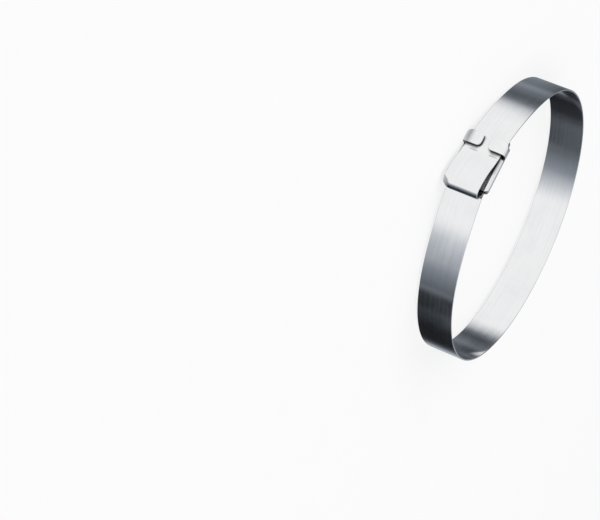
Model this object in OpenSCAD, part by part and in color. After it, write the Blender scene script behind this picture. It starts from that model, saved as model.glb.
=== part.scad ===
// Band clamp for a pipe: one long metal strap closed by a folded sheet buckle.
// The loop lies flat on its edge. Z is the axis of the loop and z = 0 the middle
// of the strap's width. The buckle is at -Y, and outward there means towards -Y.
// Everything is in millimetres.

/* [Strap] */
// Bore of the closed loop, the pipe it grips
bore_d = 147; // [120:1:400]
// Width of the strap
strap_w = 19.05; // [14:0.05:26]
// Thickness of the strap
strap_t = 0.76; // [0.5:0.02:1.2]
// Free space between layers of strap and sheet
layer_gap = 0.06; // [0.04:0.01:0.2]
// Free space between the inmost layer and the pipe
pipe_gap = 0.1; // [0.05:0.05:0.5]

/* [Buckle] */
// Thickness of the buckle's sheet
sheet_t = 1.3; // [0.8:0.1:2]
// Free space beside the strap inside the buckle
side_gap = 0.45; // [0.2:0.05:1]
// Length of the buckle along the strap
buckle_len = 26.5; // [22:0.5:36]
// Length of the ears along the strap
ear_len = 6.8; // [5:0.1:10]
// Slot between the ears and the sleeve
ear_slot = 1.6; // [0.4:0.1:3]
// Space left open between the two ears
ear_space = 3.8; // [1:0.1:8]
// Seam where the sheet's two flaps meet in the sleeve's cover
seam_w = 0.4; // [0.1:0.1:2]
// Rounding of the ears' free corners
ear_corner_r = 2.2; // [0.5:0.1:3]
// Inner rounding of the sheet's side bends
side_bend_in_r = 0.45; // [0.3:0.05:0.6]
// Rounding of the corners at the fold's end, seen from outside
mouth_corner_r = 2; // [0.5:0.1:3]
// Rounding of the corners at the ears' end, seen from outside
back_corner_r = 3; // [0.5:0.1:4]

/* [Bends of the strap] */
// Middle radius of the bend where the strap leaves the buckle
exit_bend_r = 8; // [4:0.5:15]
// Slope of the folded end as it rises from the ears
rise_angle = 24; // [10:1:32]
// Length of the straight rise
rise_len = 9; // [6:0.5:10]
// Length of the level crown between the arch and the fold
crown_len = 0.8; // [0.4:0.1:2]
// Middle radius of the tight bend at the end of the fold
fold_r = 3.2; // [1.4:0.1:4]
// Middle radius of the bend where the folded strap goes into the sleeve
mouth_bend_r = 3; // [1.4:0.1:4]
// How far the loose fold stands beyond the buckle
fold_overhang = 6.1; // [5:0.1:9]
// Length of the end that is folded under the buckle
under_len = 25; // [15:0.5:30]

/* [Hidden] */
$fn = 180;
// Free straight length between the buckle's end and the next bend
exit_run = 0.3;
// Middle radius of the small bend at the start of the rise
rise_bend_r = 6;
// Length by which the cut end stays short of the ears' back edge
cut_back = 0.6;
// Excess by which a cutting shape passes what it cuts
cut_over = 1;
// How far a straight is set towards the inside of the bends beside it, so that their faces cross
set_in = 0.003;
// Length of a scarf joint against the distance at which the faces cross
scarf_margin = 1.5;
// Steps in the edge of the wedge that cuts a bend out of a full ring, and its reach in bend radii
wedge_steps = 8;
wedge_reach = 3;

bore_r = bore_d / 2;
ring_r = bore_r + strap_t / 2;
half_w = strap_w / 2;
half_len = buckle_len / 2;
buckle_half_w = half_w + side_gap + sheet_t;
side_bend_out_r = side_bend_in_r + sheet_t;

// Heights above the loop's axis, middle of the strap or face of the sheet, from the pipe outwards
under_h = bore_r + pipe_gap + strap_t / 2;
base_h = under_h + strap_t / 2 + layer_gap;
inner_h = base_h + sheet_t + layer_gap + strap_t / 2;
outer_h = inner_h + strap_t + layer_gap;
cover_h = outer_h + strap_t / 2 + layer_gap;
stub_h = cover_h + sheet_t + layer_gap + strap_t / 2;
ear_h = stub_h + strap_t / 2 + layer_gap;

cover_top_h = cover_h + sheet_t;
ear_top_h = ear_h + sheet_t;
slot_floor_h = inner_h + strap_t / 2;

// Places along the buckle
ear_front_x = ear_len - half_len;
sleeve_x = ear_front_x + ear_slot;
exit_x = half_len + exit_run;
rise_x = ear_front_x + exit_run;
cut_x = cut_back - half_len;

// The rise, and the arch and level crown above it up to the fold's tight bend
rise_end_x = rise_x + rise_bend_r * sin(rise_angle) + rise_len * cos(rise_angle);
rise_end_h = stub_h + rise_bend_r * (1 - cos(rise_angle)) + rise_len * sin(rise_angle);
fold_x = half_len + fold_overhang - strap_t / 2 - fold_r;
arch_r = (fold_x - crown_len - rise_end_x) / sin(rise_angle);
crown_h = rise_end_h + arch_r * (1 - cos(rise_angle));

// The slanted straight that brings the strap back from the tight bend to the sleeve's mouth
return_reach = [fold_x - exit_x, crown_h - fold_r - outer_h - mouth_bend_r];
return_angle = atan2(return_reach[1], return_reach[0]) + asin((mouth_bend_r - fold_r) / norm(return_reach));
return_len = sqrt(pow(norm(return_reach), 2) - pow(mouth_bend_r - fold_r, 2));
under_r = (inner_h - under_h) / 2;

// Distance from the loop's axis to the middle of the exit bend of a layer at height h
function bend_reach(h) = norm([exit_x, h - exit_bend_r]);
// Angle by which that layer bends down to run straight onto the round of the loop
function exit_angle(h) = atan2(exit_x, h - exit_bend_r) + acos((ring_r - exit_bend_r) / bend_reach(h));
// Length of that straight
function exit_straight(h) = sqrt(pow(bend_reach(h), 2) - pow(ring_r - exit_bend_r, 2));

function straight(length) = [length, 0, 0];
function left(radius, angle) = [0, radius, angle];
function right(radius, angle) = [0, radius, -angle];

// Course of the strap from its cut end under the ears to its end folded under the buckle
course = [
    straight(rise_x - cut_x),
    right(rise_bend_r, rise_angle),
    straight(rise_len),
    left(arch_r, rise_angle),
    straight(crown_len),
    left(fold_r, 180 - return_angle),
    straight(return_len),
    left(mouth_bend_r, return_angle),
    straight(2 * exit_x),
    right(exit_bend_r, exit_angle(outer_h)),
    straight(exit_straight(outer_h)),
    right(ring_r, 360 - exit_angle(outer_h) - exit_angle(inner_h)),
    straight(exit_straight(inner_h)),
    right(exit_bend_r, exit_angle(inner_h)),
    straight(2 * exit_x),
    right(under_r, 180),
    straight(under_len),
];

// How far the scarf joint of a bend and a straight reaches past the end of the bend
function scarf(radius) = scarf_margin * sqrt(2 * (radius + strap_t / 2) * set_in);
// Side to which a leg turns: 1 for left, -1 for right, 0 for a straight or for no leg at all
function turn(leg) = leg < 0 || leg >= len(course) ? 0 : sign(course[leg][2]);
// How far a straight reaches into the leg beside it, on its left (1) or right (-1) face
function reach_in(leg, face) = turn(leg) == face ? scarf(course[leg][1]) : 0;
// Point at a radius and an angle
function polar(radius, angle) = radius * [cos(angle), sin(angle)];

// Point of a bend's slanted end, at a distance outside its middle line
function scarf_point(radius, outside) =
    [radius + outside, -scarf(radius) * (outside / strap_t + 1 / 2)];
// The same point at the bend's other end
function other_end(point, angle) =
    [point[0] * cos(angle) + point[1] * sin(angle), point[0] * sin(angle) - point[1] * cos(angle)];

// One bend of the strap in plan, which starts at the origin towards +X and turns left
module bend(radius, angle) {
    slant = [scarf_point(radius, -strap_t), scarf_point(radius, strap_t)];
    translate([0, radius])
        rotate(-90)
            intersection() {
                difference() {
                    circle(radius + strap_t / 2);
                    circle(radius - strap_t / 2);
                }
                polygon([
                    [0, 0],
                    each slant,
                    for (step = [0 : wedge_steps])
                        polar(radius * wedge_reach, angle * step / wedge_steps),
                    other_end(slant[1], angle),
                    other_end(slant[0], angle),
                ]);
            }
}

// One straight of the strap in plan, from the origin towards +X, between the legs beside it
module straight_leg(leg) {
    length = course[leg][0];
    back = turn(leg - 1) * set_in;
    ahead = turn(leg + 1) * set_in;
    polygon([
        [-reach_in(leg - 1, 1), back + strap_t / 2],
        [-reach_in(leg - 1, -1), back - strap_t / 2],
        [length + reach_in(leg + 1, -1), ahead - strap_t / 2],
        [length + reach_in(leg + 1, 1), ahead + strap_t / 2],
    ]);
}

// The strap in plan from one leg of its course to the last, from the origin towards +X
module run_strap(leg = 0) {
    if (leg < len(course)) {
        radius = course[leg][1];
        side = turn(leg);
        if (side == 0)
            straight_leg(leg);
        else
            mirror([0, side < 0 ? 1 : 0])
                bend(radius, abs(course[leg][2]));
        translate([course[leg][0], side * radius])
            rotate(course[leg][2])
                translate([0, -side * radius])
                    run_strap(leg + 1);
    }
}

module strap() {
    color([0.78, 0.79, 0.80])
        translate([cut_x, -stub_h, -half_w])
            linear_extrude(strap_w)
                run_strap();
}

// A rectangle with rounded corners between two opposite corners
module rounded_rect(low, high, radius) {
    translate([low[0] + radius, low[1]])
        square([high[0] - low[0] - 2 * radius, high[1] - low[1]]);
    translate([low[0], low[1] + radius])
        square([high[0] - low[0], high[1] - low[1] - 2 * radius]);
    for (x = [low[0] + radius, high[0] - radius], y = [low[1] + radius, high[1] - radius])
        translate([x, y])
            circle(radius);
}

// Extrudes a section along the strap; the section's x is Z here and its y is outwards
module along_strap(start_x, end_x) {
    translate([start_x, 0, 0])
        rotate([0, -90, 180])
            linear_extrude(end_x - start_x)
                children();
}

// Extrudes outwards, between two heights, a plan drawn as seen from outside
module outwards(low_h, high_h) {
    rotate([90, 0, 0])
        translate([0, 0, low_h])
            linear_extrude(high_h - low_h)
                children();
}

// Section of the folded sheet, from the base to a top at the given height
module sheet_section(top_h) {
    difference() {
        rounded_rect([-buckle_half_w, base_h], [buckle_half_w, top_h], side_bend_out_r);
        rounded_rect(
            [sheet_t - buckle_half_w, base_h + sheet_t],
            [buckle_half_w - sheet_t, top_h - sheet_t],
            side_bend_in_r
        );
    }
}

// The closed part of the buckle, with the seam in its cover
module sleeve() {
    along_strap(sleeve_x, half_len)
        difference() {
            sheet_section(cover_top_h);
            translate([-seam_w / 2, cover_h - layer_gap])
                square([seam_w, sheet_t + cut_over]);
        }
}

// The base and the side walls under the slot that parts the ears from the sleeve
module slot_tray() {
    along_strap(ear_front_x - cut_over, sleeve_x + cut_over)
        intersection() {
            sheet_section(cover_top_h);
            translate([-buckle_half_w, base_h])
                square([2 * buckle_half_w, slot_floor_h - base_h]);
        }
}

// Plan of both ears, with their free corners rounded
module ear_plan() {
    for (side = [0, 1])
        mirror([0, side])
            rounded_rect(
                [-half_len, ear_space / 2],
                [ear_front_x, buckle_half_w + ear_corner_r],
                ear_corner_r
            );
}

// The part of the buckle whose side walls rise past the strap and fold in over its end as ears
module ear_part() {
    difference() {
        along_strap(-half_len, ear_front_x)
            sheet_section(ear_top_h);
        difference() {
            outwards(slot_floor_h, ear_top_h + cut_over)
                translate([-half_len - cut_over, -buckle_half_w - cut_over])
                    square([ear_len + cut_over * 2, 2 * (buckle_half_w + cut_over)]);
            outwards(slot_floor_h - cut_over, ear_top_h + 2 * cut_over)
                ear_plan();
        }
    }
}

// Plan of the whole buckle: each end has corners of its own rounding
module buckle_plan() {
    intersection() {
        rounded_rect([-buckle_len, -buckle_half_w], [half_len, buckle_half_w], mouth_corner_r);
        rounded_rect([-half_len, -buckle_half_w], [buckle_len, buckle_half_w], back_corner_r);
    }
}

module buckle() {
    color([0.70, 0.71, 0.73])
        intersection() {
            union() {
                sleeve();
                slot_tray();
                ear_part();
            }
            outwards(base_h - cut_over, ear_top_h + cut_over)
                buckle_plan();
        }
}

strap();
buckle();
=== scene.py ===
import math

import bmesh
import bpy
from mathutils import Matrix, Vector


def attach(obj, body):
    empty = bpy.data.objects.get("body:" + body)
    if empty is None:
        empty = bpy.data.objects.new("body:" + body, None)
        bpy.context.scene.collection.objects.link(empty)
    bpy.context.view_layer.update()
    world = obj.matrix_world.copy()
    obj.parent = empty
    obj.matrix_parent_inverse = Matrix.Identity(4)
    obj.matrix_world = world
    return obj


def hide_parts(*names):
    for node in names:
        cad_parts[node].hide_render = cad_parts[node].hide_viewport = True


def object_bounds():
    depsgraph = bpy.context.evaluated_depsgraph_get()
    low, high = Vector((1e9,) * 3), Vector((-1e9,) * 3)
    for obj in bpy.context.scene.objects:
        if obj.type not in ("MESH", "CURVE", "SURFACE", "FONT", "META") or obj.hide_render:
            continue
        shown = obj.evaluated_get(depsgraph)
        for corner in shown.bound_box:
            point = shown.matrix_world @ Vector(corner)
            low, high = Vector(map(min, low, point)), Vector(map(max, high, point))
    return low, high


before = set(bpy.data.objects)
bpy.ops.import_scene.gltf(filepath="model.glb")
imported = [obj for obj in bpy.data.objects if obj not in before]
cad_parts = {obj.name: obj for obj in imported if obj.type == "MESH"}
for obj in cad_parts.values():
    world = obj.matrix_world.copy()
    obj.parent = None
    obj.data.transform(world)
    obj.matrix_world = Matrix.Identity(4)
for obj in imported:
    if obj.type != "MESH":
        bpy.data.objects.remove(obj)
cad_box = [list(corner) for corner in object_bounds()]
bpy.context.scene.view_settings.view_transform = "Standard"

# Sizes in mm: the same named values as the solids, so that every piece goes where the CAD says.
# Along the buckle x runs towards the fold, and a height h is measured from the loop's axis towards -Y.
MM_PER_M = 1000
BORE_R = 73.5
STRAP_W = 19.05
STRAP_T = 0.76
LAYER_GAP = 0.06
PIPE_GAP = 0.1
SIDE_GAP = 0.45

# Buckle
SHEET_T = 1.3
BUCKLE_LEN = 26.5
EAR_LEN = 6.8
EAR_SLOT = 1.6
EAR_SPACE = 3.8
SEAM_W = 0.4
SIDE_BEND_IN_R = 0.45
EAR_CORNER_R = 2.2
MOUTH_CORNER_R = 2.0
BACK_CORNER_R = 3.0

# Strap's course
CUT_BACK = 0.6
EXIT_RUN = 0.3
RISE_BEND_R = 6.0
RISE_ANGLE = math.radians(24)
RISE_LEN = 9.0
CROWN_LEN = 0.8
FOLD_R = 3.2
FOLD_OVERHANG = 6.1
MOUTH_BEND_R = 3.0
EXIT_BEND_R = 8.0
UNDER_LEN = 25.0
# Between the exit bends and the true circle the solids run straight. The springy strip eases there in
# a long curve instead, up to 0.6 mm further out.
LEAD_R = 120.0

# Heights of the layers' middle lines and of the sheet's faces
UNDER_H = BORE_R + PIPE_GAP + STRAP_T / 2
BASE_H = UNDER_H + STRAP_T / 2 + LAYER_GAP
INNER_H = BASE_H + SHEET_T + LAYER_GAP + STRAP_T / 2
OUTER_H = INNER_H + STRAP_T + LAYER_GAP
COVER_H = OUTER_H + STRAP_T / 2 + LAYER_GAP
STUB_H = COVER_H + SHEET_T + LAYER_GAP + STRAP_T / 2
EAR_H = STUB_H + STRAP_T / 2 + LAYER_GAP
COVER_TOP_H = COVER_H + SHEET_T
EAR_TOP_H = EAR_H + SHEET_T
SLOT_FLOOR_H = INNER_H + STRAP_T / 2

# Places along and across the buckle
RING_R = BORE_R + STRAP_T / 2
HALF_W = STRAP_W / 2
HALF_LEN = BUCKLE_LEN / 2
BUCKLE_HALF_W = HALF_W + SIDE_GAP + SHEET_T
EAR_FRONT_X = EAR_LEN - HALF_LEN
SLEEVE_X = EAR_FRONT_X + EAR_SLOT
EXIT_X = HALF_LEN + EXIT_RUN
RISE_X = EAR_FRONT_X + EXIT_RUN
CUT_X = CUT_BACK - HALF_LEN

# The arch from the rise to the fold, and the slanted return from the fold to the sleeve's mouth
RISE_END_X = RISE_X + RISE_BEND_R * math.sin(RISE_ANGLE) + RISE_LEN * math.cos(RISE_ANGLE)
RISE_END_H = STUB_H + RISE_BEND_R * (1 - math.cos(RISE_ANGLE)) + RISE_LEN * math.sin(RISE_ANGLE)
FOLD_X = HALF_LEN + FOLD_OVERHANG - STRAP_T / 2 - FOLD_R
ARCH_R = (FOLD_X - CROWN_LEN - RISE_END_X) / math.sin(RISE_ANGLE)
CROWN_H = RISE_END_H + ARCH_R * (1 - math.cos(RISE_ANGLE))
RETURN_X = FOLD_X - EXIT_X
RETURN_H = CROWN_H - FOLD_R - OUTER_H - MOUTH_BEND_R
RETURN_REACH = math.hypot(RETURN_X, RETURN_H)
RETURN_ANGLE = math.atan2(RETURN_H, RETURN_X) + math.asin((MOUTH_BEND_R - FOLD_R) / RETURN_REACH)
RETURN_LEN = math.sqrt(RETURN_REACH**2 - (MOUTH_BEND_R - FOLD_R) ** 2)
UNDER_R = (INNER_H - UNDER_H) / 2


def exit_legs(h):
    """Turns of the bend and of the long curve where a layer at height h leaves the buckle for the circle."""
    reach = math.hypot(EXIT_X, h - EXIT_BEND_R)
    to_bend = LEAD_R - EXIT_BEND_R
    to_ring = LEAD_R - RING_R
    at_bend = math.acos((to_bend**2 + reach**2 - to_ring**2) / (2 * to_bend * reach))
    at_ring = math.acos((to_ring**2 + reach**2 - to_bend**2) / (2 * to_ring * reach))
    return math.atan2(EXIT_X, h - EXIT_BEND_R) + at_bend, math.pi - at_ring - at_bend


OUTER_BEND, OUTER_LEAD = exit_legs(OUTER_H)
INNER_BEND, INNER_LEAD = exit_legs(INNER_H)
RING_TURN = 2 * math.pi - OUTER_BEND - OUTER_LEAD - INNER_BEND - INNER_LEAD

# Legs of the strap's course: (length, 0, 0) runs straight, (0, radius, turn) bends, left is positive
COURSE = [
    (RISE_X - CUT_X, 0, 0),
    (0, RISE_BEND_R, -RISE_ANGLE),
    (RISE_LEN, 0, 0),
    (0, ARCH_R, RISE_ANGLE),
    (CROWN_LEN, 0, 0),
    (0, FOLD_R, math.pi - RETURN_ANGLE),
    (RETURN_LEN, 0, 0),
    (0, MOUTH_BEND_R, RETURN_ANGLE),
    (2 * EXIT_X, 0, 0),
    (0, EXIT_BEND_R, -OUTER_BEND),
    (0, LEAD_R, -OUTER_LEAD),
    (0, RING_R, -RING_TURN),
    (0, LEAD_R, -INNER_LEAD),
    (0, EXIT_BEND_R, -INNER_BEND),
    (2 * EXIT_X, 0, 0),
    (0, UNDER_R, -math.pi),
    (UNDER_LEN, 0, 0),
]

# The photograph's camera: its place in metres, its own axes, and its lens and sensor in mm
CAMERA_PLACE = (0.31019, -1.06078, 0.33153)
CAMERA_RIGHT = (-0.45321, 0.23444, 0.86002)
CAMERA_FORWARD = (-0.21335, 0.90822, -0.36001)
CAMERA_LENS = 134.285
CAMERA_SENSOR = 36


def aim_camera():
    """The photograph's view: high on one side, turned so that the loop stands up in the picture."""
    data = bpy.data.cameras.new("photo_camera")
    data.sensor_width = CAMERA_SENSOR
    data.lens = CAMERA_LENS
    data.clip_start = 0.01
    data.clip_end = 50
    camera = bpy.data.objects.new("photo_camera", data)
    bpy.context.scene.collection.objects.link(camera)
    right = Vector(CAMERA_RIGHT).normalized()
    forward = Vector(CAMERA_FORWARD)
    forward = (forward - right * forward.dot(right)).normalized()
    up = right.cross(forward)
    turn = Matrix((right, up, -forward)).transposed()
    camera.matrix_world = Matrix.Translation(CAMERA_PLACE) @ turn.to_4x4()
    bpy.context.scene.camera = camera


aim_camera()


# Nodes, each function giving its result's socket, but for add and new_material
def add(tree, kind, inputs=None, **settings):
    """One node, with its settings and the values or links of its inputs."""
    node = tree.nodes.new(kind)
    for key, value in settings.items():
        setattr(node, key, value)
    for key, value in (inputs or {}).items():
        if isinstance(value, bpy.types.NodeSocket):
            tree.links.new(value, node.inputs[key])
        else:
            node.inputs[key].default_value = value
    return node


def new_material(name):
    """A material whose node tree holds only its output."""
    material = bpy.data.materials.new(name)
    material.use_nodes = True
    tree = material.node_tree
    tree.nodes.clear()
    output = tree.nodes.new("ShaderNodeOutputMaterial")
    return material, tree, output


def ramp(tree, value, stops):
    """A colour ramp through stops given as (place, grey or colour)."""
    node = add(tree, "ShaderNodeValToRGB", {"Fac": value})
    elements = node.color_ramp.elements
    while len(elements) < len(stops):
        elements.new(0.5)
    for element, (place, colour) in zip(elements, stops):
        element.position = place
        colour = (colour,) * 3 if isinstance(colour, (int, float)) else colour
        element.color = (*colour, 1)
    return node.outputs["Color"]


def compute(tree, operation, first, second):
    """Two numbers put through one operation."""
    return add(tree, "ShaderNodeMath", {0: first, 1: second}, operation=operation).outputs[0]


def map_range(tree, value, source, target=(0.0, 1.0), interpolation="LINEAR"):
    """A number mapped from one range to another and held at its ends."""
    inputs = {"Value": value, "From Min": source[0], "From Max": source[1]}
    inputs.update({"To Min": target[0], "To Max": target[1]})
    return add(tree, "ShaderNodeMapRange", inputs, interpolation_type=interpolation).outputs[0]


def mix_colours(tree, share, first, second, blend_type="MIX"):
    """Two colours mixed by a share, or multiplied."""
    inputs = {"Factor": share, "A": first, "B": second}
    return add(tree, "ShaderNodeMix", inputs, data_type="RGBA", blend_type=blend_type).outputs[2]


def mix_shaders(tree, share, first, second):
    """Two shaders mixed by a share of the second."""
    return add(tree, "ShaderNodeMixShader", {"Fac": share, 1: first, 2: second}).outputs[0]


def noise(tree, place, scale, detail, roughness=0.5):
    """A noise over a place in space."""
    inputs = {"Vector": place, "Scale": scale, "Detail": detail, "Roughness": roughness}
    return add(tree, "ShaderNodeTexNoise", inputs).outputs["Fac"]


def bump(tree, height, strength, distance, below=None):
    """A bumped normal, over another one where that is given."""
    inputs = {"Height": height, "Strength": strength, "Distance": distance}
    if below is not None:
        inputs["Normal"] = below
    return add(tree, "ShaderNodeBump", inputs).outputs[0]


# Floor: its radius and its drop below the clamp in m, and the share of it that glows for the camera
FLOOR_R = 12.0
FLOOR_DROP = 0.00005
FLOOR_GLOW = 0.72


def floor_material():
    """Matt pale floor, brightened for the camera alone so that it reads white round a soft shadow."""
    material, tree, output = new_material("pale_floor")
    coordinates = add(tree, "ShaderNodeTexCoord")
    grain = noise(tree, coordinates.outputs["Object"], scale=40.0, detail=4.0)
    tone = ramp(tree, grain, [(0.0, 0.80), (1.0, 0.84)])
    matt = add(tree, "ShaderNodeBsdfDiffuse", {"Color": tone, "Roughness": 0.5})
    glow = add(tree, "ShaderNodeEmission", {"Color": (1, 1, 1, 1), "Strength": 1.0})
    paths = add(tree, "ShaderNodeLightPath")
    share = compute(tree, "MULTIPLY", paths.outputs["Is Camera Ray"], FLOOR_GLOW)
    tree.links.new(mix_shaders(tree, share, matt.outputs[0], glow.outputs[0]), output.inputs["Surface"])
    return material


def make_floor():
    """A wide round floor just under the clamp's lowest edge, which the steel doesn't mirror."""
    mesh = bpy.data.meshes.new("floor")
    shape = bmesh.new()
    bmesh.ops.create_circle(shape, cap_ends=True, segments=96, radius=FLOOR_R)
    shape.to_mesh(mesh)
    shape.free()
    floor = bpy.data.objects.new("floor", mesh)
    bpy.context.scene.collection.objects.link(floor)
    floor.location = (0, 0, cad_box[0][2] - FLOOR_DROP)
    floor.visible_glossy = False
    floor.visible_shadow = False
    mesh.materials.append(floor_material())


make_floor()

# What the bright steel mirrors: tones round the studio by direction, in degrees from -Y towards -X.
# A wide white wall faces the buckle, grey falls off beside it, and the room behind is dark. The inside
# of the loop mirrors the upper row of tones, the outside of its near half the row a little lower down.
UPPER_TONES = [
    (-180, 0.50),
    (-165, 0.08),
    (-155, 0.02),
    (-135, 0.03),
    (-120, 0.12),
    (-92, 0.12),
    (-72, 0.30),
    (-64, 0.55),
    (-50, 0.95),
    (-45, 1.0),
    (77, 1.0),
    (91, 0.20),
    (99, 0.07),
    (115, 0.15),
    (123, 0.05),
    (140, 0.06),
    (165, 0.40),
    (180, 0.50),
]
LOWER_TONES = [
    (-180, 0.50),
    (-165, 0.06),
    (-158, 0.01),
    (-134, 0.01),
    (-117, 0.04),
    (-110, 0.01),
    (-98, 0.01),
    (-92.5, 0.20),
    (-90, 0.12),
    (-75, 0.25),
    (-58, 0.52),
    (-52, 0.70),
    (-46, 1.0),
    (83, 1.0),
    (89, 0.75),
    (94, 0.15),
    (100, 0.11),
    (114, 0.30),
    (122, 0.20),
    (150, 0.25),
    (180, 0.50),
]
COOL = (0.86, 0.98, 1.16)
# The ground's tone by how steeply down the direction points, from 0 for level to 1 for straight down
GROUND_TONES = [(0.62, (0.24, 0.27, 0.29)), (0.74, (0.38, 0.405, 0.425)), (0.92, (0.62, 0.635, 0.65))]
GROUND_SHARE = 0.85
CEILING_TONE = (0.86, 0.88, 0.90, 1)
# Heights of the directions, as their Z, where the upper row passes into the lower one, where the walls
# pass into the ceiling, and where they pass into the ground
ROW_CHANGE = (-0.281, -0.293)
CEILING_RISE = (0.55, 0.9)
GROUND_FALL = (-0.40, -0.64)
EVEN_LIGHT = 0.75


def tone_stops(tones):
    """Stops of a colour ramp once round the studio: its greys are cool, the more so the darker they are."""
    stops = []
    for angle, tone in tones:
        stops.append(((angle + 180) / 360, [tone + tone * (c - 1) * (1 - tone) for c in COOL]))
    return stops


def mirrored_room(tree):
    """Colour of the studio in every direction, as the steel's gloss sees it."""
    coordinates = add(tree, "ShaderNodeTexCoord")
    direction = add(tree, "ShaderNodeSeparateXYZ", {"Vector": coordinates.outputs["Generated"]})
    height = direction.outputs["Z"]
    left = compute(tree, "MULTIPLY", direction.outputs["X"], -1.0)
    front = compute(tree, "MULTIPLY", direction.outputs["Y"], -1.0)
    way_round = map_range(tree, compute(tree, "ARCTAN2", left, front), (-math.pi, math.pi))
    upper = ramp(tree, way_round, tone_stops(UPPER_TONES))
    lower = ramp(tree, way_round, tone_stops(LOWER_TONES))
    low = map_range(tree, height, ROW_CHANGE, interpolation="SMOOTHSTEP")
    above = map_range(tree, height, CEILING_RISE, interpolation="SMOOTHSTEP")
    below = map_range(tree, height, GROUND_FALL, (0.0, GROUND_SHARE), "SMOOTHSTEP")
    ground = ramp(tree, map_range(tree, height, (0.0, -1.0)), GROUND_TONES)
    room = mix_colours(tree, above, mix_colours(tree, low, upper, lower), CEILING_TONE)
    return mix_colours(tree, below, room, ground)


def make_world():
    """White behind the object, even pale light on it, and toned surroundings for its mirror gloss."""
    world = bpy.data.worlds.new("studio")
    bpy.context.scene.world = world
    world.use_nodes = True
    tree = world.node_tree
    tree.nodes.clear()
    output = tree.nodes.new("ShaderNodeOutputWorld")
    gloss = add(tree, "ShaderNodeBackground", {"Color": mirrored_room(tree), "Strength": 1.0})
    even = add(tree, "ShaderNodeBackground", {"Color": (1, 1, 1, 1), "Strength": EVEN_LIGHT})
    white = add(tree, "ShaderNodeBackground", {"Color": (1, 1, 1, 1), "Strength": 1.0})
    paths = add(tree, "ShaderNodeLightPath")
    lit = mix_shaders(tree, paths.outputs["Is Glossy Ray"], even.outputs[0], gloss.outputs[0])
    straight = compute(tree, "MAXIMUM", paths.outputs["Is Camera Ray"], paths.outputs["Is Transmission Ray"])
    tree.links.new(mix_shaders(tree, straight, lit, white.outputs[0]), output.inputs["Surface"])


make_world()


def add_lamp(name, place, target, size, energy):
    """A soft square lamp at a place, turned to a target. The studio's tones already stand for its gloss."""
    data = bpy.data.lights.new(name, "AREA")
    data.shape = "SQUARE"
    data.size = size
    data.energy = energy
    lamp = bpy.data.objects.new(name, data)
    bpy.context.scene.collection.objects.link(lamp)
    lamp.location = place
    lamp.visible_glossy = False
    lamp.rotation_euler = (Vector(target) - Vector(place)).to_track_quat("-Z", "Y").to_euler()


add_lamp("lamp_above", place=(0.3, -0.5, 1.4), target=(0, 0, 0), size=1.8, energy=9.0)
add_lamp("lamp_side", place=(-1.1, -0.7, 0.9), target=(0, -0.03, 0), size=1.25, energy=4.0)

# Painted shade: the steel's colour is darkened where layers meet, most of all in front of the ears, as if
# light fell from -X and -Z, so the nooks are looked for along the surface's normal leaned this way
PAINTED_SHADE_LEAN = (-0.62, 0.0, -0.42)
PAINTED_SHADE_TONES = [(0.25, (0.03, 0.03, 0.035)), (0.5, 0.2), (0.8, 1)]
PAINTED_SHADE_SAMPLES = 32
# Shares of the tint between the rolled lines and on them
LINE_TINTS = [(0.30, 0.94), (0.50, 1.0), (0.72, 1.02)]
# Shares of the blotch that the patches between the haze take from red, green and blue
BLOTCH_SHARES = (1.0, 0.96, 0.88)
# The texture space's scale for the slow waviness, as a share of the lines' own
BAND_SCALE = 0.22


def steel_colour(tree, lines, haze, tint, blotch, reach):
    """The tint, shifted a little by rolled lines and by patches, and darkened by painted shade in nooks."""
    lined = ramp(tree, lines, [(place, [c * share for c in tint]) for place, share in LINE_TINTS])
    hazed = ramp(tree, haze, [(0.30, [1 - blotch * share for share in BLOTCH_SHARES]), (0.62, 1)])
    # Painted shade: the colour darkens where other surfaces lie close along the leaned normal
    surface = add(tree, "ShaderNodeNewGeometry")
    leaned = add(tree, "ShaderNodeVectorMath", {0: surface.outputs["Normal"], 1: PAINTED_SHADE_LEAN}, operation="ADD")
    facing = add(tree, "ShaderNodeVectorMath", {0: leaned.outputs[0]}, operation="NORMALIZE")
    inputs = {"Distance": reach, "Normal": facing.outputs[0]}
    openness = add(tree, "ShaderNodeAmbientOcclusion", inputs, samples=PAINTED_SHADE_SAMPLES)
    painted_shade = ramp(tree, openness.outputs["AO"], PAINTED_SHADE_TONES)
    return mix_colours(tree, 1.0, mix_colours(tree, 1.0, lined, hazed, "MULTIPLY"), painted_shade, "MULTIPLY")


def steel_material(name, tint, along, rough, line_depth, blotch, metallic, reach):
    """Bright rolled steel: fine lines along the strip, faint grit and waviness, handling haze, and painted
    shade in nooks.

    along is the scale of the texture space per axis: small along the strip, large across it. rough is
    the roughness between the lines and on them, and what haze adds. reach is how far the painted shade
    in nooks reaches, in m.
    """
    material, tree, output = new_material(name)
    place = add(tree, "ShaderNodeTexCoord").outputs["Object"]
    stretched = add(tree, "ShaderNodeMapping", {"Vector": place, "Scale": along})
    broad = add(tree, "ShaderNodeMapping", {"Vector": place, "Scale": [a * BAND_SCALE for a in along]})
    lines = noise(tree, stretched.outputs[0], scale=1.0, detail=5.0, roughness=0.62)
    bands = noise(tree, broad.outputs[0], scale=1.0, detail=2.0)
    haze = noise(tree, place, scale=90.0, detail=5.0, roughness=0.6)
    grit = noise(tree, place, scale=2600.0, detail=2.0)
    line_rough = map_range(tree, lines, (0.25, 0.75), rough[:2])
    haze_rough = map_range(tree, haze, (0.35, 0.7), (0.0, rough[2]))
    relief = bump(tree, lines, strength=line_depth, distance=0.00003)
    relief = bump(tree, bands, strength=line_depth, distance=0.00012, below=relief)
    relief = bump(tree, grit, strength=0.12, distance=0.00001, below=relief)
    inputs = {
        "Base Color": steel_colour(tree, lines, haze, tint, blotch, reach),
        "Metallic": metallic,
        "Roughness": compute(tree, "ADD", line_rough, haze_rough),
        "Normal": relief,
    }
    shader = add(tree, "ShaderNodeBsdfPrincipled", inputs)
    tree.links.new(shader.outputs[0], output.inputs["Surface"])
    return material


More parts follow.
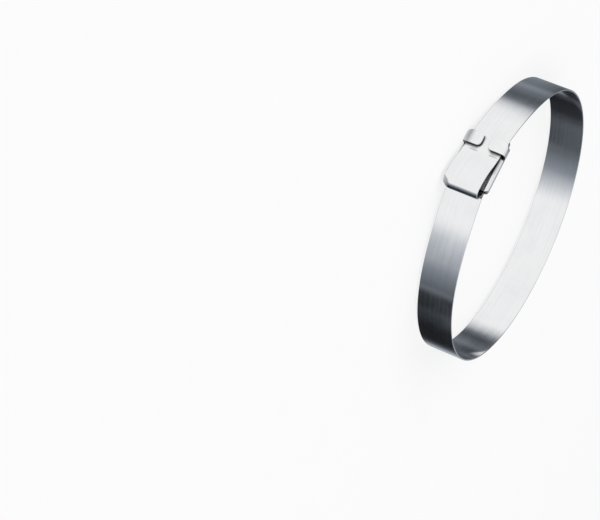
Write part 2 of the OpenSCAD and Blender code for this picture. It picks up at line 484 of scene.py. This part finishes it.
STRAP_STEEL = steel_material(
    "strap_bright_steel",
    tint=(0.85, 0.855, 0.86),
    along=(14, 14, 2400),
    rough=(0.06, 0.12, 0.05),
    line_depth=0.09,
    blotch=0.05,
    metallic=1.0,
    reach=0.0022,
)
BUCKLE_STEEL = steel_material(
    "buckle_satin_steel",
    tint=(0.87, 0.872, 0.87),
    along=(160, 160, 1500),
    rough=(0.12, 0.22, 0.08),
    line_depth=0.30,
    blotch=0.06,
    metallic=0.94,
    reach=0.005,
)
EDGE_STEEL = steel_material(
    "sheared_edge_steel",
    tint=(0.70, 0.705, 0.71),
    along=(900, 900, 500),
    rough=(0.28, 0.42, 0.08),
    line_depth=0.6,
    blotch=0.10,
    metallic=0.94,
    reach=0.0022,
)


def place_piece(name, mesh, materials, node):
    """A new piece that stands for a CAD node and rides with the clamp."""
    piece = bpy.data.objects.new(name, mesh)
    bpy.context.scene.collection.objects.link(piece)
    for material in materials:
        mesh.materials.append(material)
    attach(piece, "root")
    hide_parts(node)
    return piece


# Strap: its rounded edges, and the steps that it is swept in, in mm where it is straight and as turns
# where it bends
STRAP_EDGE_R = 0.2
STRAP_EDGE_STEPS = 4
WIDTH_STEPS = 14
STRAIGHT_STEP = 2.5
WIDE_R = 50
WIDE_STEP = math.radians(1.0)
BEND_STEP = math.radians(6.0)
BEND_STEPS_LEAST = 4
# The fold's corner at -Z is pressed back, as in the photograph: how far, and where that begins and ends
CORNER_BACK = 2.1
CORNER_FROM_Z = -5.6
CORNER_FROM_X = 13.8
CORNER_TO_X = 17.6


def course_points():
    """Points of the strap's middle line in mm: (x, y, heading)."""
    x, y, heading = CUT_X, -STUB_H, 0.0
    points = [(x, y, heading)]
    for length, radius, turn in COURSE:
        if radius == 0:
            steps = max(1, round(length / STRAIGHT_STEP))
            for _ in range(steps):
                x += math.cos(heading) * length / steps
                y += math.sin(heading) * length / steps
                points.append((x, y, heading))
            continue
        per_step = WIDE_STEP if radius > WIDE_R else BEND_STEP
        steps = max(BEND_STEPS_LEAST, math.ceil(abs(turn) / per_step))
        side = math.copysign(1, turn)
        centre_x = x - math.sin(heading) * radius * side
        centre_y = y + math.cos(heading) * radius * side
        for _ in range(steps):
            heading += turn / steps
            x = centre_x + math.sin(heading) * radius * side
            y = centre_y - math.cos(heading) * radius * side
            points.append((x, y, heading))
    return points


def ease(value):
    """Smooth step from 0 to 1."""
    value = min(1.0, max(0.0, value))
    return value * value * (3 - 2 * value)


def press_corner(x, y, z):
    """Where a point of the loose fold goes along X when its corner is pressed in."""
    if y > -OUTER_H or z > CORNER_FROM_Z:
        return x
    depth = ((CORNER_FROM_Z - z) / (CORNER_FROM_Z + HALF_W)) ** 2
    return x - CORNER_BACK * depth * ease((x - CORNER_FROM_X) / (CORNER_TO_X - CORNER_FROM_X))


def pressed_normal(x, y, z, normal):
    """The surface's direction at that point, turned with the pressed corner."""
    step = 0.01
    along_x = (press_corner(x + step, y, z) - press_corner(x - step, y, z)) / (2 * step)
    along_z = (press_corner(x, y, z + step) - press_corner(x, y, z - step)) / (2 * step)
    turned_x = normal[0] / along_x
    return Vector((turned_x, normal[1], normal[2] - along_z * turned_x)).normalized()


def strap_section():
    """Section of the strap with its rounded edges: (across its thickness, along Z, the normal in both)."""
    points = []
    flat_t = STRAP_T / 2 - STRAP_EDGE_R
    flat_w = HALF_W - STRAP_EDGE_R
    for side_t, side_w, start in [(1, 1, 0), (-1, 1, 90), (-1, -1, 180), (1, -1, 270)]:
        for step in range(STRAP_EDGE_STEPS + 1):
            angle = math.radians(start + 90 * step / STRAP_EDGE_STEPS)
            cos, sin = math.cos(angle), math.sin(angle)
            t = side_t * flat_t + STRAP_EDGE_R * cos
            w = side_w * flat_w + STRAP_EDGE_R * sin
            points.append((t, w, cos, sin))
        if side_t == side_w:
            continue
        for step in range(1, WIDTH_STEPS):
            w = side_w * flat_w * (1 - 2 * step / WIDTH_STEPS)
            points.append((side_t * STRAP_T / 2, w, side_t, 0.0))
    return points


def is_cut_end(polygon):
    """The strap's end faces are its only ones with more than 4 corners."""
    return len(polygon.vertices) > 4


def shade_strap(mesh, normals):
    """The given normals along the strip, flat ones on its two cut ends."""
    loop_normals = [None] * len(mesh.loops)
    for polygon in mesh.polygons:
        polygon.use_smooth = True
        flat = is_cut_end(polygon)
        for loop in polygon.loop_indices:
            given = normals[mesh.loops[loop].vertex_index]
            loop_normals[loop] = tuple(polygon.normal) if flat else given
    mesh.normals_split_custom_set(loop_normals)


def make_strap():
    """The strap swept in one piece along its course, with its edges rounded as strip steel's are."""
    course = course_points()
    section = strap_section()
    count = len(section)
    vertices, normals = [], []
    for x, y, heading in course:
        across_x, across_y = -math.sin(heading), math.cos(heading)
        for t, w, normal_t, normal_w in section:
            place = (x + across_x * t, y + across_y * t, w)
            pressed = (press_corner(*place), place[1], w)
            vertices.append([value / MM_PER_M for value in pressed])
            normals.append(pressed_normal(*place, (across_x * normal_t, across_y * normal_t, normal_w)))
    faces = []
    for row in range(len(course) - 1):
        start, end = row * count, (row + 1) * count
        for column in range(count):
            after = (column + 1) % count
            faces.append((start + column, start + after, end + after, end + column))
    last = (len(course) - 1) * count
    faces.append(tuple(reversed(range(count))))
    faces.append(tuple(range(last, last + count)))
    mesh = bpy.data.meshes.new("strap_body")
    mesh.from_pydata(vertices, [], faces)
    shade_strap(mesh, normals)
    place_piece("strap_body", mesh, [STRAP_STEEL, EDGE_STEEL], "strap")
    for polygon in mesh.polygons:
        polygon.material_index = int(is_cut_end(polygon))


make_strap()

# Buckle: the ears bulge in the middle, and its edges are rubbed round where they turn sharply
EAR_CROWN = 0.45
RUBBED_EDGE = 0.15
RUBBED_STEPS = 3
SHARP_TURN = math.radians(40)
SIDE_BEND_OUT_R = SIDE_BEND_IN_R + SHEET_T
SIDE_FLAT_Z = BUCKLE_HALF_W - SIDE_BEND_OUT_R
CORNER_ROW_Z = BUCKLE_HALF_W - MOUTH_CORNER_R
# How finely the sheet is divided: round its side bends, through its depth, and in columns along it
SIDE_BEND_STEPS = 8
DEPTH_STEPS = 4
EAR_COLUMNS = 12
SLOT_COLUMNS = 2
SLEEVE_COLUMNS = 16
# Places of its rows across the base and across the flaps. A flap's last rows follow its free edge: they
# are given by their distance from it, and are made only within the last place named here.
BASE_ROWS_Z = (8.8, 8.3, 7.4, 6.0, 4.5, 3.0, 1.5)
FLAP_ROWS_Z = (8.8, 8.3, 7.4, 6.4, 5.4)
EAR_STEPS = (2.6, 2.2, 1.8, 1.5, 1.2, 0.95, 0.72, 0.5, 0.3)
COVER_STEPS = (4.2, 3.2, 2.2, 1.2, 0.4)
STEPS_WITHIN_Z = 5.0
# A wall that is higher than this has a row halfway up
LONG_WALL = 1
# Points that agree when rounded to this many parts of a metre are one point
PARTS_PER_M = 1e7


def corner_loss(distance, radius):
    """How much a rounded corner takes off at a distance from the edge beside it."""
    if distance >= radius:
        return 0.0
    return radius - math.sqrt(max(0.0, radius**2 - (radius - max(0.0, distance)) ** 2))


def back_x(z, on_ear):
    """Where the buckle ends behind the ears, at a place across its width."""
    end = -HALF_LEN + corner_loss(BUCKLE_HALF_W - abs(z), BACK_CORNER_R)
    if on_ear:
        end = max(end, -HALF_LEN + corner_loss(abs(z) - EAR_SPACE / 2, EAR_CORNER_R))
    return end


def ear_front(z, on_ear):
    """Where the ears end in front, or the same place on the walls below them."""
    return EAR_FRONT_X - (corner_loss(abs(z) - EAR_SPACE / 2, EAR_CORNER_R) if on_ear else 0.0)


def mouth_x(z):
    """Where the sleeve ends at the fold."""
    return HALF_LEN - corner_loss(BUCKLE_HALF_W - abs(z), MOUTH_CORNER_R)


def column_x(column, z, on_ear):
    """Place along the buckle of a column of its grid, at a place across its width."""
    if column <= EAR_COLUMNS:
        low, high, share = back_x(z, on_ear), ear_front(z, on_ear), column / EAR_COLUMNS
    elif column <= EAR_COLUMNS + SLOT_COLUMNS:
        low, high, share = EAR_FRONT_X, SLEEVE_X, (column - EAR_COLUMNS) / SLOT_COLUMNS
    else:
        low, high = SLEEVE_X, mouth_x(z)
        share = (column - EAR_COLUMNS - SLOT_COLUMNS) / SLEEVE_COLUMNS
    return low + (high - low) * share


def bend_rows(centre_h, end):
    """Rows of a side bend on the sheet's outer face, from the wall: (z, height, inward z, inward height)."""
    rows = []
    for step in range(SIDE_BEND_STEPS + 1):
        angle = math.radians(end * step / SIDE_BEND_STEPS)
        cos, sin = math.cos(angle), math.sin(angle)
        rows.append((SIDE_FLAT_Z + SIDE_BEND_OUT_R * cos, centre_h + SIDE_BEND_OUT_R * sin, -cos, -sin))
    return rows


def lower_rows():
    """The base and both walls up to the slot's floor, from the wall at +Z to the one at -Z."""
    half = [(BUCKLE_HALF_W, SLOT_FLOOR_H, -1, 0)]
    half += bend_rows(BASE_H + SIDE_BEND_OUT_R, -90)
    half += [(z, BASE_H, 0, 1) for z in (CORNER_ROW_Z, *BASE_ROWS_Z)]
    middle = [(0, BASE_H, 0, 1)]
    return half + middle + [(-z, h, -inward_z, inward_h) for z, h, inward_z, inward_h in reversed(half)]


def upper_rows(top_h, free_z, side, near, crown):
    """One wall from the slot's floor up, its bend, and the flap in to its free edge, bulging by crown."""
    bend_h = top_h - SIDE_BEND_OUT_R
    rows = [(BUCKLE_HALF_W, SLOT_FLOOR_H, -1, 0)]
    if bend_h - SLOT_FLOOR_H > LONG_WALL:
        rows.append((BUCKLE_HALF_W, (bend_h + SLOT_FLOOR_H) / 2, -1, 0))
    rows += bend_rows(bend_h, 90)
    near_rows = [free_z + step for step in near if free_z + step < STEPS_WITHIN_Z]
    for z in (CORNER_ROW_Z, *FLAP_ROWS_Z, *near_rows, free_z):
        share = min(1.0, 2 * (SIDE_FLAT_Z - z) / (SIDE_FLAT_Z - free_z))
        rows.append((z, top_h + crown * (1 - (1 - share) ** 2), 0, -1))
    return [(side * z, h, side * inward_z, inward_h) for z, h, inward_z, inward_h in rows]


def buckle_patches():
    """Patches of the sheet: its rows, its first and last column, and whether its flap is an ear."""
    sleeve = EAR_COLUMNS + SLOT_COLUMNS
    last = sleeve + SLEEVE_COLUMNS
    patches = [(lower_rows(), 0, last, False)]
    for side in (1, -1):
        ear = upper_rows(EAR_TOP_H, EAR_SPACE / 2, side, EAR_STEPS, EAR_CROWN)
        cover = upper_rows(COVER_TOP_H, SEAM_W / 2, side, COVER_STEPS, 0)
        patches.append((ear, 0, EAR_COLUMNS, True))
        patches.append((cover, sleeve, last, False))
    return patches


def buckle_shape():
    """The folded sheet as one closed shape: both faces on a shared grid, joined by its cut edges."""
    shape = bmesh.new()
    found = {}

    def corner(row, column, depth, on_ear):
        z, h, inward_z, inward_h = row
        z += inward_z * SHEET_T * depth
        h += inward_h * SHEET_T * depth
        place = (column_x(column, z, on_ear) / MM_PER_M, -h / MM_PER_M, z / MM_PER_M)
        key = tuple(round(value * PARTS_PER_M) for value in place)
        if key not in found:
            found[key] = shape.verts.new(place)
        return found[key]

    edges = {}
    for rows, first, last, on_ear in buckle_patches():
        for row, row_after in zip(rows, rows[1:]):
            for column in range(first, last):
                cell = [(row, column), (row, column + 1), (row_after, column + 1), (row_after, column)]
                outer = [corner(*at, 0, on_ear) for at in cell]
                inner = [corner(*at, 1, on_ear) for at in cell]
                shape.faces.new(outer)
                shape.faces.new(list(reversed(inner)))
                for start in range(4):
                    end = (start + 1) % 4
                    key = frozenset((outer[start], outer[end]))
                    edges.setdefault(key, []).append((cell[start], cell[end], on_ear))
    for uses in edges.values():
        if len(uses) > 1:
            continue
        start, end, on_ear = uses[0]
        for step in range(DEPTH_STEPS):
            near, far = step / DEPTH_STEPS, (step + 1) / DEPTH_STEPS
            strip = [(end, near), (start, near), (start, far), (end, far)]
            face = shape.faces.new([corner(*at, depth, on_ear) for at, depth in strip])
            face.material_index = 1
    bmesh.ops.recalc_face_normals(shape, faces=shape.faces)
    return shape


def make_buckle():
    """The folded sheet in its satin steel, its cut edges lightly rubbed."""
    shape = buckle_shape()
    for face in shape.faces:
        face.smooth = True
    mesh = bpy.data.meshes.new("buckle_body")
    shape.to_mesh(mesh)
    shape.free()
    piece = place_piece("buckle_body", mesh, [BUCKLE_STEEL, EDGE_STEEL], "buckle")
    bevel = piece.modifiers.new("rubbed_edges", "BEVEL")
    bevel.width = RUBBED_EDGE / MM_PER_M
    bevel.segments = RUBBED_STEPS
    bevel.limit_method = "ANGLE"
    bevel.angle_limit = SHARP_TURN
    piece.modifiers.new("even_shading", "WEIGHTED_NORMAL")


make_buckle()
